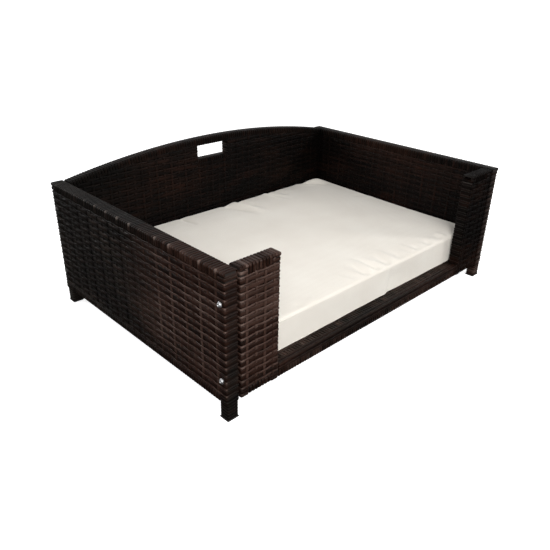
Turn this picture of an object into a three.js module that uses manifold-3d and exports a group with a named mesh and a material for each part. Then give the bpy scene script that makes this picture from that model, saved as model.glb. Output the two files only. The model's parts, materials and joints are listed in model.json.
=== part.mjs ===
// Wicker pet bed: woven side, front and back panels on steel tube, a woven deck and a box cushion.
// Millimetres, +Z up. The origin is the centre of the footprint on the floor; -Y is the open front.
import * as THREE from "three";
import { mergeVertices } from "three/addons/utils/BufferGeometryUtils.js";
import { RoundedBoxGeometry } from "three/addons/geometries/RoundedBoxGeometry.js";
import Module from "manifold-3d";

// Overall sizes.
const WIDTH = 1000;
const DEPTH = 680;
const PANEL_TOP = 336;
const PANEL_BOTTOM = 42;
const CROWN_TOP = 382;
const SIDE_THICK = 34;
const END_THICK = 32;
const STUB_WIDTH = 104.5;
const APRON_TOP = 76;
const SLOT = { centre: -7.5, width: 110, bottom: 320.5, top: 360 };

// Number of flats on a round, and of chords along the arch.
const ROUND_SIDES = 12;
const ARCH_STEPS = 20;

// Fits between pieces.
const CLEAR = 0.3;
const PANEL_GAP = 1.5;
const STUB_GAP = 4;

// Steel tube and the strand wrapped over it.
const TUBE_DEEP = 25;
const TUBE_WIDE = 18;
const SLIM_TUBE = 12;
const INNER_POST_WIDE = 15;
const TUBE_WALL = 1.2;
const EDGE_WRAP = 1.5;
const SLOT_WRAP = 1.2;

// Legs and feet.
const FOOT_PLATE = 4;
const FOOT_PLUG = 14;
const LEG_WRAP_X = 1.6;
const LEG_PACKING = 4;
const FOOT_STEP = 1.5;

// Bolts that hold the side panels to the front and back panels.
const BOLT = { radius: 3, hole: 3.4, flange: 6.2, flangeThick: 1.4, head: 5, headHigh: 3.3 };
const BOLT_TIP_X = 446;
const BOLT_INSET = 15;
const BOLT_HEIGHTS = [96, 268];
const BUSH_RADIUS = 5.5;
const SOCKET_ACROSS = 4;
const SOCKET_DEEP = 2.2;

// Deck and its ledges.
const DECK_BAR = 20;
const DECK_BAR_HIGH = 18;
const DECK_TOP = 72.7;
const DECK_MAT = 2.4;
const DECK_PLAY = 3;
const CROSS_BAR_X = 154;
const LEDGE = { wide: 25, thick: 2, drop: 8.7 };

// Cushion: foam core, cover with a zip along its back.
const CUSHION = { halfX: 462, front: -305, back: 303, bottom: 73, top: 152, round: 13 };
const COVER_THICK = 1.5;
const ZIP = { halfX: 400, low: 108, high: 114, tape: 1.2 };
const SLIDER = { x: 392, wide: 10, thick: 2.4, high: 9, tabWide: 6, tabThick: 1.2, tabLong: 24 };

// Derived places, measured from the middle of the bed.
const HALF_X = WIDTH / 2;
const HALF_Y = DEPTH / 2;
const SIDE_INNER = HALF_X - SIDE_THICK;
const SIDE_MID = HALF_X - SIDE_THICK / 2;
const END_INNER = HALF_Y - END_THICK;
const END_MID = HALF_Y - END_THICK / 2;
const PANEL_END = SIDE_INNER - PANEL_GAP;
const STUB_END = SIDE_INNER - STUB_GAP;
const STUB_INNER = STUB_END - STUB_WIDTH;
const CAVITY_HALF = TUBE_DEEP / 2 + CLEAR;
const POST_OUT = EDGE_WRAP + CLEAR;
const FRAME_TOP = PANEL_TOP - POST_OUT;
const FRAME_BOTTOM = PANEL_BOTTOM + POST_OUT;
const POST_X = [PANEL_END - POST_OUT - TUBE_WIDE, PANEL_END - POST_OUT];
const STUB_POST_X = [STUB_END - POST_OUT - TUBE_WIDE, STUB_END - POST_OUT];
const APRON_MID = (APRON_TOP + PANEL_BOTTOM) / 2;
const RAIL_Z = [APRON_MID - TUBE_DEEP / 2, APRON_MID + TUBE_DEEP / 2];
const RISE = CROWN_TOP - PANEL_TOP;
const ARCH_RADIUS = (PANEL_END ** 2 + RISE ** 2) / (2 * RISE);
const ARCH_CENTRE = CROWN_TOP - ARCH_RADIUS;
const SLOT_X = [SLOT.centre - SLOT.width / 2, SLOT.centre + SLOT.width / 2];

const wasm = await Module();
wasm.setup();

const MATERIALS = {
  wicker: new THREE.MeshStandardMaterial({ color: 0x3a2a22, roughness: 0.45, metalness: 0 }),
  steel: new THREE.MeshStandardMaterial({ color: 0x241f1d, roughness: 0.5, metalness: 0.6 }),
  bolt: new THREE.MeshStandardMaterial({ color: 0xc8c9cc, roughness: 0.25, metalness: 1 }),
  foot: new THREE.MeshStandardMaterial({ color: 0x1c1a19, roughness: 0.6, metalness: 0 }),
  cover: new THREE.MeshStandardMaterial({ color: 0xe8e2d4, roughness: 0.9, metalness: 0 }),
  foam: new THREE.MeshStandardMaterial({ color: 0xf2ecd2, roughness: 1, metalness: 0 }),
  zip: new THREE.MeshStandardMaterial({ color: 0xddd6c6, roughness: 0.7, metalness: 0 }),
  slider: new THREE.MeshStandardMaterial({ color: 0xb9b6ae, roughness: 0.3, metalness: 1 }),
};

// --- solids: closed three.js geometries, joined and cut as manifolds ---

function solid(geometry) {
  const bare = geometry.clone();
  bare.deleteAttribute("normal");
  bare.deleteAttribute("uv");
  const merged = mergeVertices(bare, 1e-4);
  const vertProperties = new Float32Array(merged.attributes.position.array);
  const triVerts = new Uint32Array(merged.index.array);
  return new wasm.Manifold(new wasm.Mesh({ numProp: 3, vertProperties, triVerts }));
}

function geometryOf(body) {
  const mesh = body.getMesh();
  const geometry = new THREE.BufferGeometry();
  geometry.setAttribute("position", new THREE.BufferAttribute(new Float32Array(mesh.vertProperties), 3));
  geometry.setIndex(new THREE.BufferAttribute(new Uint32Array(mesh.triVerts), 1));
  geometry.computeVertexNormals();
  return geometry;
}

// A block from three [low, high] ranges, given in either order.
function block(x, y, z) {
  const geometry = new THREE.BoxGeometry(
    Math.abs(x[1] - x[0]), Math.abs(y[1] - y[0]), Math.abs(z[1] - z[0]));
  geometry.translate((x[0] + x[1]) / 2, (y[0] + y[1]) / 2, (z[0] + z[1]) / 2);
  return solid(geometry);
}

function around(middle, half) {
  return [middle - half, middle + half];
}

function scaled(range, factor) {
  return [range[0] * factor, range[1] * factor];
}

function grown(range, by) {
  const outward = Math.sign(range[1] - range[0]) * by;
  return [range[0] - outward, range[1] + outward];
}

// A rectangular tube, open at both ends, along "x", "y" or "z".
function tube(x, y, z, along) {
  const inner = { x: grown(x, -TUBE_WALL), y: grown(y, -TUBE_WALL), z: grown(z, -TUBE_WALL) };
  inner[along] = grown({ x, y, z }[along], 1);
  return block(x, y, z).subtract(block(inner.x, inner.y, inner.z));
}

// A round rod along X.
function rodX(radius, x, y, z) {
  const geometry = new THREE.CylinderGeometry(radius, radius, Math.abs(x[1] - x[0]), ROUND_SIDES);
  geometry.rotateZ(Math.PI / 2);
  geometry.translate((x[0] + x[1]) / 2, y, z);
  return solid(geometry);
}

function cutBoltHoles(body, x, y) {
  return BOLT_HEIGHTS.reduce((rest, z) => rest.subtract(rodX(BOLT.hole, x, y, z)), body);
}

function piece(name, body, material) {
  const mesh = new THREE.Mesh(geometryOf(body), MATERIALS[material]);
  mesh.name = name;
  return mesh;
}

// --- side panels: two posts that run down as legs, two rails, and the weave around them ---

function sideWeave(side) {
  const outer = block([SIDE_INNER * side, HALF_X * side], [-HALF_Y, HALF_Y], [PANEL_BOTTOM, PANEL_TOP]);
  const cavityX = around(SIDE_MID * side, CAVITY_HALF);
  const inset = HALF_Y - EDGE_WRAP;
  let body = outer.subtract(
    block(cavityX, [-inset, inset], [PANEL_BOTTOM + EDGE_WRAP, PANEL_TOP - EDGE_WRAP]));
  const seatX = HALF_X - BOLT.flangeThick - CLEAR;
  for (const end of [-1, 1]) {
    const legY = [inset * end, (inset - TUBE_WIDE - 2 * CLEAR) * end];
    body = body.subtract(block(cavityX, legY, [PANEL_BOTTOM - 1, PANEL_BOTTOM + EDGE_WRAP + 1]));
    const boltY = (HALF_Y - BOLT_INSET) * end;
    body = cutBoltHoles(body, [(SIDE_INNER - 1) * side, (HALF_X + 1) * side], boltY);
    for (const z of BOLT_HEIGHTS) {
      body = body.subtract(rodX(BOLT.flange + 2 * CLEAR, [seatX * side, (HALF_X + 1) * side], boltY, z));
    }
  }
  return body;
}

function sidePost(side, end) {
  const x = around(SIDE_MID * side, TUBE_DEEP / 2);
  const y = [(HALF_Y - POST_OUT) * end, (HALF_Y - POST_OUT - TUBE_WIDE) * end];
  const body = tube(x, y, [FOOT_PLATE + CLEAR, FRAME_TOP], "z");
  return cutBoltHoles(body, grown(x, 1), (HALF_Y - BOLT_INSET) * end);
}

function sideRail(side, z) {
  const reach = HALF_Y - POST_OUT - TUBE_WIDE - CLEAR;
  return tube(around(SIDE_MID * side, TUBE_DEEP / 2), [-reach, reach], z, "y");
}

// The outline of a leg's wrap, thicker on the side that faces along the panel.
function legOutline(side, end) {
  const inner = HALF_Y - POST_OUT - TUBE_WIDE - CLEAR - EDGE_WRAP - LEG_PACKING;
  return [around(SIDE_MID * side, CAVITY_HALF + LEG_WRAP_X), [HALF_Y * end, inner * end]];
}

function legWrap(side, end) {
  const [x, y] = legOutline(side, end);
  const z = [FOOT_PLATE + CLEAR, PANEL_BOTTOM - CLEAR];
  const hollowY = [y[0] - EDGE_WRAP * end, y[1] + (EDGE_WRAP + LEG_PACKING) * end];
  const hollow = block(around(SIDE_MID * side, CAVITY_HALF), hollowY, grown(z, 1));
  return block(x, y, z).subtract(hollow);
}

function foot(side, end) {
  const [x, y] = legOutline(side, end);
  const plugX = around(SIDE_MID * side, TUBE_DEEP / 2 - TUBE_WALL - CLEAR);
  const plugOut = POST_OUT + TUBE_WALL + CLEAR;
  const plugY = [(HALF_Y - plugOut) * end, (HALF_Y - plugOut - TUBE_WIDE + 2 * (TUBE_WALL + CLEAR)) * end];
  const plug = block(plugX, plugY, [FOOT_PLATE - 1, FOOT_PLATE + FOOT_PLUG]);
  const sole = block(grown(x, -FOOT_STEP), grown(y, -FOOT_STEP), [0, FOOT_STEP + 0.1]);
  return block(x, y, [FOOT_STEP, FOOT_PLATE]).add(sole).add(plug);
}

function sidePanel(label, side) {
  const group = new THREE.Group();
  group.add(piece(`${label}_weave`, sideWeave(side), "wicker"));
  group.add(piece(`${label}_top_rail`, sideRail(side, [FRAME_TOP - TUBE_WIDE, FRAME_TOP]), "steel"));
  group.add(piece(`${label}_bottom_rail`, sideRail(side, [FRAME_BOTTOM, FRAME_BOTTOM + TUBE_WIDE]), "steel"));
  for (const [place, end] of [["front", -1], ["rear", 1]]) {
    group.add(piece(`${label}_${place}_post`, sidePost(side, end), "steel"));
    group.add(piece(`${label}_${place}_leg_wrap`, legWrap(side, end), "wicker"));
    group.add(piece(`${label}_${place}_foot`, foot(side, end), "foot"));
  }
  return group;
}

// --- end posts of the front and back panels, with a tapped bush for each bolt ---

function endPost(side, end, z) {
  const x = scaled(end < 0 ? STUB_POST_X : POST_X, side);
  const bushX = grown(x, -TUBE_WALL / 2);
  const boltY = (HALF_Y - BOLT_INSET) * end;
  let body = tube(x, around(END_MID * end, TUBE_DEEP / 2), z, "z");
  for (const height of BOLT_HEIGHTS) {
    body = body.add(rodX(BUSH_RADIUS, bushX, boltY, height));
  }
  return cutBoltHoles(body, grown(x, 1), boltY);
}

// --- front panel: a low wrapped rail between two full-height stubs ---

function stubWeave(side) {
  const cavityY = around(-END_MID, CAVITY_HALF);
  const x = [STUB_INNER * side, STUB_END * side];
  const cavityZ = [RAIL_Z[0] - CLEAR, PANEL_TOP - EDGE_WRAP];
  const railWay = block(
    [(STUB_INNER - 1) * side, (STUB_INNER + 2 * EDGE_WRAP) * side], cavityY, grown(RAIL_Z, CLEAR));
  const body = block(x, [-HALF_Y, -END_INNER], [PANEL_BOTTOM, PANEL_TOP])
    .subtract(block(grown(x, -EDGE_WRAP), cavityY, cavityZ))
    .subtract(railWay);
  return cutBoltHoles(body, [(STUB_END - 5) * side, (STUB_END + 1) * side], -(HALF_Y - BOLT_INSET));
}

function stubInnerPost(side) {
  const near = STUB_INNER + POST_OUT;
  const z = [RAIL_Z[1] + CLEAR, FRAME_TOP - TUBE_WIDE - CLEAR];
  return tube([near * side, (near + INNER_POST_WIDE) * side], around(-END_MID, TUBE_DEEP / 2), z, "z");
}

function stubCapRail(side) {
  const x = [(STUB_INNER + POST_OUT) * side, (STUB_POST_X[0] - CLEAR) * side];
  return tube(x, around(-END_MID, TUBE_DEEP / 2), [FRAME_TOP - TUBE_WIDE, FRAME_TOP], "x");
}

function apronWrap() {
  const reach = STUB_INNER - CLEAR;
  const hollow = block(
    [-reach - 1, reach + 1], around(-END_MID, CAVITY_HALF), grown(RAIL_Z, CLEAR));
  return block([-reach, reach], [-HALF_Y, -END_INNER], [PANEL_BOTTOM, APRON_TOP]).subtract(hollow);
}

function frontPanel() {
  const group = new THREE.Group();
  const reach = STUB_POST_X[0] - CLEAR;
  const rail = tube([-reach, reach], around(-END_MID, TUBE_DEEP / 2), RAIL_Z, "x");
  group.add(piece("front_rail", rail, "steel"));
  group.add(piece("apron_wrap", apronWrap(), "wicker"));
  for (const [label, side] of [["left", -1], ["right", 1]]) {
    group.add(piece(`front_${label}_weave`, stubWeave(side), "wicker"));
    group.add(piece(`front_${label}_outer_post`, endPost(side, -1, [RAIL_Z[0], FRAME_TOP]), "steel"));
    group.add(piece(`front_${label}_inner_post`, stubInnerPost(side), "steel"));
    group.add(piece(`front_${label}_cap_rail`, stubCapRail(side), "steel"));
  }
  return group;
}

// --- back panel: arched top with a hand slot under the crown ---

// The panel's outline, drawn inset by the given amount, and extruded over a range of Y.
function archSolid(inset, y) {
  const half = PANEL_END - inset;
  const radius = ARCH_RADIUS - inset;
  const angle = Math.asin(half / radius);
  const shape = new THREE.Shape();
  shape.moveTo(-half, PANEL_BOTTOM + inset);
  shape.lineTo(half, PANEL_BOTTOM + inset);
  shape.absarc(0, ARCH_CENTRE, radius, Math.PI / 2 - angle, Math.PI / 2 + angle, false);
  return uprightExtrusion(shape, y);
}

// A shape drawn in X and Z, extruded along Y.
function uprightExtrusion(shape, y) {
  const geometry = new THREE.ExtrudeGeometry(
    shape, { depth: y[1] - y[0], bevelEnabled: false, curveSegments: ARCH_STEPS });
  geometry.rotateX(Math.PI / 2);
  geometry.translate(0, y[1], 0);
  return solid(geometry);
}

// A band that follows the arch between two depths below its top edge.
function archBand(shallow, deep, y, halfX) {
  const outer = ARCH_RADIUS - shallow;
  const inner = ARCH_RADIUS - deep;
  const angle = Math.asin(halfX / outer);
  const shape = new THREE.Shape();
  shape.absarc(0, ARCH_CENTRE, outer, Math.PI / 2 - angle, Math.PI / 2 + angle, false);
  shape.absarc(0, ARCH_CENTRE, inner, Math.PI / 2 + angle, Math.PI / 2 - angle, true);
  return uprightExtrusion(shape, y);
}

function archedRail() {
  const y = around(END_MID, TUBE_DEEP / 2);
  const halfX = PANEL_END - POST_OUT;
  const deep = POST_OUT + SLIM_TUBE;
  const hollow = archBand(POST_OUT + TUBE_WALL, deep - TUBE_WALL, grown(y, -TUBE_WALL), halfX + 3);
  return archBand(POST_OUT, deep, y, halfX).subtract(hollow);
}

function backWeave() {
  const y = [END_INNER, HALF_Y];
  const cavity = archSolid(EDGE_WRAP, around(END_MID, CAVITY_HALF));
  const slotZ = [SLOT.bottom, SLOT.top];
  let body = archSolid(0, y)
    .subtract(cavity)
    .add(block(grown(SLOT_X, SLOT_WRAP), y, grown(slotZ, SLOT_WRAP)))
    .subtract(block(SLOT_X, grown(y, 1), slotZ));
  for (const side of [-1, 1]) {
    body = cutBoltHoles(body, [(PANEL_END - 5) * side, (PANEL_END + 1) * side], HALF_Y - BOLT_INSET);
  }
  return body;
}

function backPanel() {
  const group = new THREE.Group();
  const y = around(END_MID, TUBE_DEEP / 2);
  const reach = POST_X[0] - CLEAR;
  const railZ = [FRAME_BOTTOM, FRAME_BOTTOM + TUBE_WIDE];
  const postTop = PANEL_TOP - POST_OUT - SLIM_TUBE - 1;
  const barTop = SLOT.top + SLOT_WRAP;
  const slotRailTop = SLOT.bottom - SLOT_WRAP - CLEAR;
  group.add(piece("back_weave", backWeave(), "wicker"));
  group.add(piece("back_arched_rail", archedRail(), "steel"));
  group.add(piece("back_bottom_rail", tube([-reach, reach], y, railZ, "x"), "steel"));
  group.add(piece("back_slot_rail",
    tube(grown(SLOT_X, SLOT_WRAP), y, [slotRailTop - SLIM_TUBE, slotRailTop], "x"), "steel"));
  for (const [label, side, edge] of [["left", -1, SLOT_X[0]], ["right", 1, SLOT_X[1]]]) {
    const near = edge + (SLOT_WRAP + CLEAR) * side;
    const bar = tube([near, near + SLIM_TUBE * side], y, [railZ[1] + CLEAR, barTop], "z");
    group.add(piece(`back_${label}_post`, endPost(side, 1, [FRAME_BOTTOM, postTop]), "steel"));
    group.add(piece(`back_slot_${label}_bar`, bar, "steel"));
  }
  return group;
}

// --- deck: a tube frame with a woven mat, lying on an angle ledge along each side ---

function ledge(side) {
  const top = DECK_TOP - DECK_MAT - DECK_BAR_HIGH - 2 * CLEAR;
  const out = SIDE_INNER - CLEAR;
  const y = [-END_INNER + 2 * DECK_BAR, END_INNER - 2 * DECK_BAR];
  const leaf = block([(out - LEDGE.wide) * side, out * side], y, [top - LEDGE.thick, top]);
  const web = block([(out - LEDGE.thick) * side, out * side], y, [top - LEDGE.drop, top - LEDGE.thick / 2]);
  return leaf.add(web);
}

function deck() {
  const group = new THREE.Group();
  const halfX = SIDE_INNER - DECK_PLAY;
  const halfY = END_INNER - DECK_PLAY;
  const matZ = [DECK_TOP - DECK_MAT, DECK_TOP];
  const barZ = [matZ[0] - CLEAR - DECK_BAR_HIGH, matZ[0] - CLEAR];
  const between = halfY - DECK_BAR - CLEAR;
  group.add(piece("deck_weave", block([-halfX, halfX], [-halfY, halfY], matZ), "wicker"));
  for (const [label, end] of [["front", -1], ["rear", 1]]) {
    const y = [halfY * end, (halfY - DECK_BAR) * end];
    group.add(piece(`deck_${label}_bar`, tube([-halfX, halfX], y, barZ, "x"), "steel"));
  }
  for (const [label, side] of [["left", -1], ["right", 1]]) {
    const sideX = [(halfX - DECK_BAR) * side, halfX * side];
    const crossX = around(CROSS_BAR_X * side, DECK_BAR / 2);
    group.add(piece(`deck_${label}_bar`, tube(sideX, [-between, between], barZ, "y"), "steel"));
    group.add(piece(`deck_${label}_cross_bar`, tube(crossX, [-between, between], barZ, "y"), "steel"));
    group.add(piece(`deck_${label}_ledge`, ledge(side), "steel"));
  }
  return group;
}

// --- flanged button-head bolts with a hexagon socket ---

function boltBody() {
  const flangeTop = BOLT.flangeThick;
  const headTop = flangeTop + BOLT.headHigh;
  const length = HALF_X - BOLT.flangeThick - BOLT_TIP_X;
  const profile = [
    [0, -length], [BOLT.radius - 0.8, -length], [BOLT.radius, 1 - length], [BOLT.radius, 0],
    [BOLT.flange, 0], [BOLT.flange, flangeTop], [BOLT.head, flangeTop],
    [BOLT.head * 0.95, flangeTop + BOLT.headHigh * 0.5], [BOLT.head * 0.7, headTop - 0.4], [0, headTop],
  ].map(([radius, height]) => new THREE.Vector2(radius, height));
  const socketRadius = SOCKET_ACROSS / Math.sqrt(3);
  const socket = new THREE.CylinderGeometry(socketRadius, socketRadius, 2 * SOCKET_DEEP, 6);
  socket.translate(0, headTop, 0);
  return solid(new THREE.LatheGeometry(profile, ROUND_SIDES)).subtract(solid(socket));
}

function bolts() {
  const group = new THREE.Group();
  const geometry = geometryOf(boltBody());
  for (const [label, side] of [["left", -1], ["right", 1]]) {
    for (const [place, end] of [["front", -1], ["rear", 1]]) {
      for (const [level, height] of [["low", BOLT_HEIGHTS[0]], ["high", BOLT_HEIGHTS[1]]]) {
        const bolt = new THREE.Mesh(geometry, MATERIALS.bolt);
        bolt.name = `bolt_${label}_${place}_${level}`;
        bolt.rotation.z = -side * Math.PI / 2;
        bolt.position.set((HALF_X - BOLT.flangeThick) * side, (HALF_Y - BOLT_INSET) * end, height);
        group.add(bolt);
      }
    }
  }
  return group;
}

// --- cushion: foam core in a zipped cover, and the zip's slider ---

function cushionSolid(inset) {
  const size = [2 * CUSHION.halfX, CUSHION.back - CUSHION.front, CUSHION.top - CUSHION.bottom];
  const [x, y, z] = size.map((side) => side - 2 * inset);
  const geometry = new RoundedBoxGeometry(x, y, z, 2, CUSHION.round - inset);
  geometry.translate(0, (CUSHION.front + CUSHION.back) / 2, (CUSHION.bottom + CUSHION.top) / 2);
  return solid(geometry);
}

function zipSlider() {
  const back = CUSHION.back + CLEAR;
  const middle = (ZIP.low + ZIP.high) / 2;
  const body = block(
    around(SLIDER.x, SLIDER.wide / 2), [back, back + SLIDER.thick], around(middle, SLIDER.high / 2));
  const tab = block(
    around(SLIDER.x, SLIDER.tabWide / 2),
    [back + SLIDER.thick - SLIDER.tabThick, back + SLIDER.thick],
    [middle - SLIDER.high / 2 - SLIDER.tabLong, middle]);
  return body.add(tab);
}

function cushion() {
  const group = new THREE.Group();
  const slot = block(
    [-ZIP.halfX, ZIP.halfX], [CUSHION.back - 2 * COVER_THICK, CUSHION.back + 1], [ZIP.low, ZIP.high]);
  const cover = cushionSolid(0).subtract(cushionSolid(COVER_THICK)).subtract(slot);
  const tape = block(
    grown([-ZIP.halfX, ZIP.halfX], -CLEAR),
    [CUSHION.back - ZIP.tape, CUSHION.back], grown([ZIP.low, ZIP.high], -CLEAR));
  group.add(piece("cushion_cover", cover, "cover"));
  group.add(piece("cushion_core", cushionSolid(COVER_THICK + CLEAR), "foam"));
  group.add(piece("cushion_zip", tape, "zip"));
  group.add(piece("zip_slider", zipSlider(), "slider"));
  return group;
}

const bed = new THREE.Group();
bed.add(sidePanel("left", -1), sidePanel("right", 1), frontPanel(), backPanel(), deck(), bolts(), cushion());

export default bed;
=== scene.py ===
"""The looks of the wicker pet bed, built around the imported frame, in metres."""
import json
import math

import bmesh
import bpy
import numpy as np
from mathutils import Matrix, Vector
from mathutils.bvhtree import BVHTree


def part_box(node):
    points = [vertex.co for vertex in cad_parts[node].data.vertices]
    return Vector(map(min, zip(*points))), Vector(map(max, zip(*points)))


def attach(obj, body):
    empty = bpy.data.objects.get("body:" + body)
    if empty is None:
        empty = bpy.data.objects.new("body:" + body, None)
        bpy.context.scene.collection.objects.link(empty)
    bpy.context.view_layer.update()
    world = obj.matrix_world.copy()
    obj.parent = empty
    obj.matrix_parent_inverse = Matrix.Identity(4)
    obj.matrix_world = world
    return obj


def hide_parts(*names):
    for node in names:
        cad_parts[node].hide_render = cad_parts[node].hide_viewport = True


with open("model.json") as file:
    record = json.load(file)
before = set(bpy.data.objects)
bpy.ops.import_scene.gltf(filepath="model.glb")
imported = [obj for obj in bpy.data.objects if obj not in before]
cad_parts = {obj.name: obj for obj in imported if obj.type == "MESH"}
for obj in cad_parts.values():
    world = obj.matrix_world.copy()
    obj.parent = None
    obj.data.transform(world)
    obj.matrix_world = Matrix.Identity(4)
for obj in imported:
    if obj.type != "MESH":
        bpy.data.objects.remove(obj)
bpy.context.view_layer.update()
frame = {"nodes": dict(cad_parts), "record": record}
MM = 0.001

# The flat synthetic strand and the plain weave that it makes.
STRAND_THICK = 1.4 * MM
ROW_THICK = 1.6 * MM
ROW_PITCH = 8.3 * MM
ROW_WIDE = (5.6 * MM, 11.6 * MM)            # the light rows and the dark ones
HOOP_WIDE = 7.9 * MM
STAKE_WIDE = 7.4 * MM
STAKE_PITCH = 24 * MM
BEND = 4.5 * MM                # radius where a strand turns over an edge
LOW_BAND = 17 * MM             # wrapped band over a bottom rail
TOP_BAND = 19.7 * MM           # wrapped band over a top rail
WRAP_PITCH = 8.1 * MM
WRAP_WIDE = 7.5 * MM
POST_WIDE = 22 * MM            # what a strand round a post covers
POST_CAP = 9.5 * MM            # wrapped band over a post

WRAP_REACH = 9 * MM            # how far a tucked wrap goes in behind the rows
SLOT_BAND = 14 * MM            # wrapped band under the hand slot
ARCH_BAND = 16.5 * MM          # wrapped band over the arched rail

# Depth of a strand's middle below the panel's face.
LIGHT_DEPTHS = (0.95 * MM, 2.9 * MM)        # light rows, over and under the stakes
DARK_DEPTHS = (1.75 * MM, 3.6 * MM)         # dark rows, over and under the stakes
LIGHT_STAKE = (2.85 * MM, 1.9 * MM)         # under a light row and over a dark one
DARK_STAKE = (1.2 * MM, 3.3 * MM)           # over a light row and under a dark one
ON_TOP = 0.7 * MM              # wraps and hoops
TUCKED = 2.8 * MM              # ends that go in under the wraps
BEHIND = 4.2 * MM              # ends that go in behind the rows
SHADE_SHEET_DEPTH = 5.7 * MM              # dark sheets inside the skins, painted shade in the gaps between the strands

# Lightness of each run of strand, from black to brown. The light rows and the stakes are lighter partly in
# colour and partly as a painted highlight, the sheen along their crowns.
LIGHT_ROW = 0.80
DARK_ROW = 0.45
STAKE_TONE = 0.80
WRAP_TONE = 0.50
# the dark sheets inside the skins, painted shade
SHADE_SHEET_TONE = 0.2
LIGHT_WRAP = 0.84              # some wraps over a level top rail
DARK_WRAP = 0.40               # and the ones between them
RUN_TONES = (0.38, 0.34)       # the apron's long strands, on its face and on top
STITCH_TONE = 0.5
TONE_SPREAD = 0.05             # how much one strand differs from the next

RNG = np.random.default_rng(7)


# --- strands: closed sweeps of one crowned, flat section ---

# Across the strand, from edge to edge, and through its thickness.
PROFILE = np.array([(-1, 0.20), (-0.62, 0.80), (0, 1.0), (0.62, 0.80), (1, 0.20), (0, 0.0)])


def unit(vectors):
    """The vectors at length 1."""
    return vectors / np.maximum(np.linalg.norm(vectors, axis=-1, keepdims=True), 1e-12)


def add_object(name, data):
    made = bpy.data.objects.new(name, data)
    bpy.context.scene.collection.objects.link(made)
    return made


def ease(x):
    """A smooth step from 0 to 1."""
    x = np.clip(x, 0, 1)
    return x * x * (3 - 2 * x)


def ring_faces(count, closed):
    """Quads of a sweep with the profile's corners at each of count stations."""
    corners = len(PROFILE)
    stations = np.arange(count if closed else count - 1)[:, None]
    ahead = (stations + 1) % count
    here = np.arange(corners)[None, :]
    following = (here + 1) % corners
    quads = np.stack([
        stations * corners + here, ahead * corners + here,
        ahead * corners + following, stations * corners + following], axis=-1).reshape(-1, 4)
    if closed:
        return quads
    last = (count - 1) * corners
    start_cap = np.array([[0, 1, 2, 3], [0, 3, 4, 5]])
    end_cap = np.array([[3, 2, 1, 0], [5, 4, 3, 0]]) + last
    return np.concatenate([quads, start_cap, end_cap])


def signed_volume(verts, quads):
    a, b, c, d = (verts[quads[:, i]] for i in range(4))
    return (np.cross(a, b) * c).sum() + (np.cross(a, c) * d).sum()


def ball_share(spots, centre, reach):
    """1 close to the centre, fading to 0 at the reach, which may differ along each axis."""
    far = np.linalg.norm((spots - np.array(centre)) / np.array(reach), axis=1)
    return ease(1 - far)


def box_share(spots, low, high, fade):
    """1 inside the box, fading to 0 over the given distance at its sides."""
    deep = np.minimum(spots - np.array(low), np.array(high) - spots)
    return ease(deep / np.array(fade) + 0.5).prod(axis=1)


def tone_with_painted_light(spots, tone):
    """The strands' lightness, with painted shade and other tone drawn in over some boxes and a painted
    highlight on the light strands along some edges.
    """
    bright = ease((tone - 0.5) / 0.15)
    for low, high, fade, level, pull in TONE_AND_PAINTED_SHADE_PLACES:
        share = pull * box_share(spots, low, high, fade)
        tone = tone * (1 - share) + level * share
    for low, high, fade, amount in PAINTED_GLINT_EDGES:
        tone = tone + amount * bright * box_share(spots, low, high, fade)
    return tone


# Boxes in metres: low corner, high corner, fade, the level of lightness and the pull towards it. Several
# paint shade where the bed lies in shade: the inner faces of the back and right panels, the far front stub
# and the rear of the left panel; the others make the strands lighter or darker over a face.
# A pull over 1 swaps the light strands and the dark ones.
TONE_AND_PAINTED_SHADE_PLACES = (
    # painted shade on the inner faces of the back and right panels
    ((-0.47, 0.29, 0.03), (0.47, 0.324, 0.40), (0.02, 0.006, 0.02), 0.115, 0.86),
    ((0.46, -0.34, 0.03), (0.484, 0.32, 0.35), (0.006, 0.02, 0.02), 0.16, 0.80),
    ((-0.47, 0.29, 0.330), (0.47, 0.35, 0.40), (0.02, 0.02, 0.02), 0.26, 0.60),
    ((-0.4955, -0.35, 0.3325), (-0.45, 0.35, 0.35), (0.004, 0.02, 0.004), 0.24, 0.80),
    ((0.45, -0.35, 0.331), (0.51, 0.35, 0.35), (0.006, 0.02, 0.006), 0.30, 0.60),
    ((-0.497, -0.36, 0.0), (-0.46, -0.333, 0.32), (0.006, 0.006, 0.02), 0.37, 0.82),
    ((-0.51, -0.36, -0.02), (-0.44, -0.28, 0.042), (0.004, 0.01, 0.004), 0.40, 0.60),
    ((-0.51, -0.336, 0.03), (-0.497, -0.322, 0.32), (0.004, 0.008, 0.02), 0.30, 0.55),
    ((-0.51, -0.35, 0.312), (-0.497, 0.35, 0.331), (0.003, 0.02, 0.004), 0.40, 0.60),
    # painted shade on the far front stub
    ((0.34, -0.35, 0.03), (0.47, -0.30, 0.35), (0.02, 0.02, 0.02), 0.10, 0.88),
    # the rear of the left panel: the swap paints the stakes and light rows into shade and gives the dark
    # rows a painted highlight
    ((-0.51, -0.06, 0.062), (-0.49, 0.30, 0.314), (0.01, 0.24, 0.02), 0.49, 1.6),
    ((-0.51, 0.20, 0.0), (-0.49, 0.35, 0.35), (0.01, 0.20, 0.02), 0.35, 0.45),
    ((-0.51, -0.33, 0.265), (-0.49, -0.16, 0.33), (0.01, 0.04, 0.03), 0.30, 0.45),
    ((-0.51, -0.30, 0.03), (-0.49, 0.10, 0.09), (0.01, 0.10, 0.05), 0.34, 0.40),
    ((-0.46, -0.35, 0.205), (-0.35, -0.30, 0.318), (0.02, 0.02, 0.03), 0.72, 0.58),
    ((-0.46, -0.35, 0.03), (-0.35, -0.30, 0.14), (0.02, 0.02, 0.06), 0.36, 0.28),
    ((-0.35, -0.35, 0.03), (0.35, -0.30, 0.09), (0.02, 0.02, 0.02), 0.32, 0.30),
)

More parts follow.
